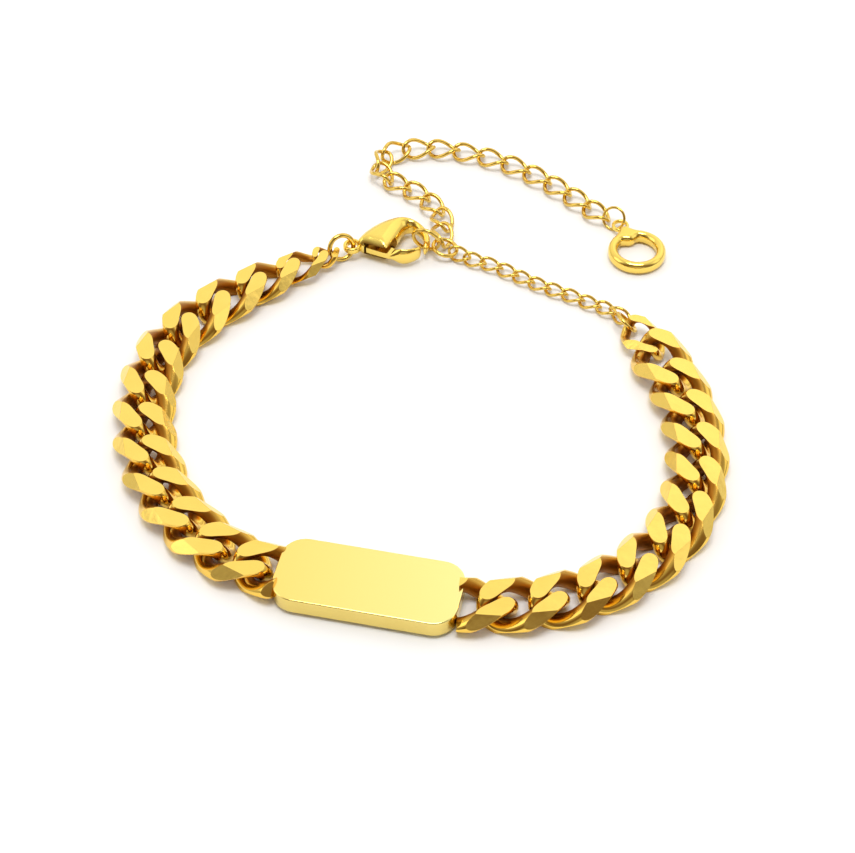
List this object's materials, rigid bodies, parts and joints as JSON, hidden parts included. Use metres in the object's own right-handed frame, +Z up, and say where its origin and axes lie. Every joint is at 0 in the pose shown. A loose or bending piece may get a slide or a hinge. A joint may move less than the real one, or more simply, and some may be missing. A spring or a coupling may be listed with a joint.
{
  "type": "chain bracelet",
  "caption": "Curb chain bracelet with a blank plate, lobster clasp, extender chain and ring charm, closed and lying flat",
  "frame": {"origin": "middle of the bounding box, on the surface that the bracelet lies on", "axes": "+X to the right, roughly along the plate, +Y away from the plate towards the clasp, +Z up from the surface"},
  "size_m": [0.0647, 0.0757, 0.0036],
  "materials": {
    "gold": "polished gold plating",
    "gold_plate": "polished gold plating on the plate"
  },
  "bodies": {
    "bracelet": {"plate": "gold_plate", "link_r01": "gold", "link_r02": "gold", "link_r03": "gold", "link_r04": "gold", "link_r05": "gold", "link_r06": "gold", "link_r07": "gold", "link_r08": "gold", "link_r09": "gold", "link_r10": "gold", "link_l01": "gold", "link_l02": "gold", "link_l03": "gold", "link_l04": "gold", "link_l05": "gold", "link_l06": "gold", "link_l07": "gold", "link_l08": "gold", "link_l09": "gold", "link_l10": "gold", "link_l11": "gold", "end_link_r": "gold", "end_link_l": "gold", "connector": "gold", "jump_ring_clasp": "gold", "jump_ring_chain": "gold", "clasp_body": "gold", "clasp_ring": "gold", "chain_ring": "gold", "fine_chain": "gold", "extender_chain": "gold", "charm_ring": "gold", "charm": "gold"},
    "lever": {"clasp_lever": "gold"}
  },
  "joints": [
    {"name": "lever_hinge", "type": "hinge", "parent": "bracelet", "child": "lever", "pos_m": [-0.00545, 0.01825, 0.00145], "axis": [0, 0, 1], "range_deg": [0, 18], "stiffness_Nm_per_rad": 0.001, "springref_deg": -11.46}
  ]
}
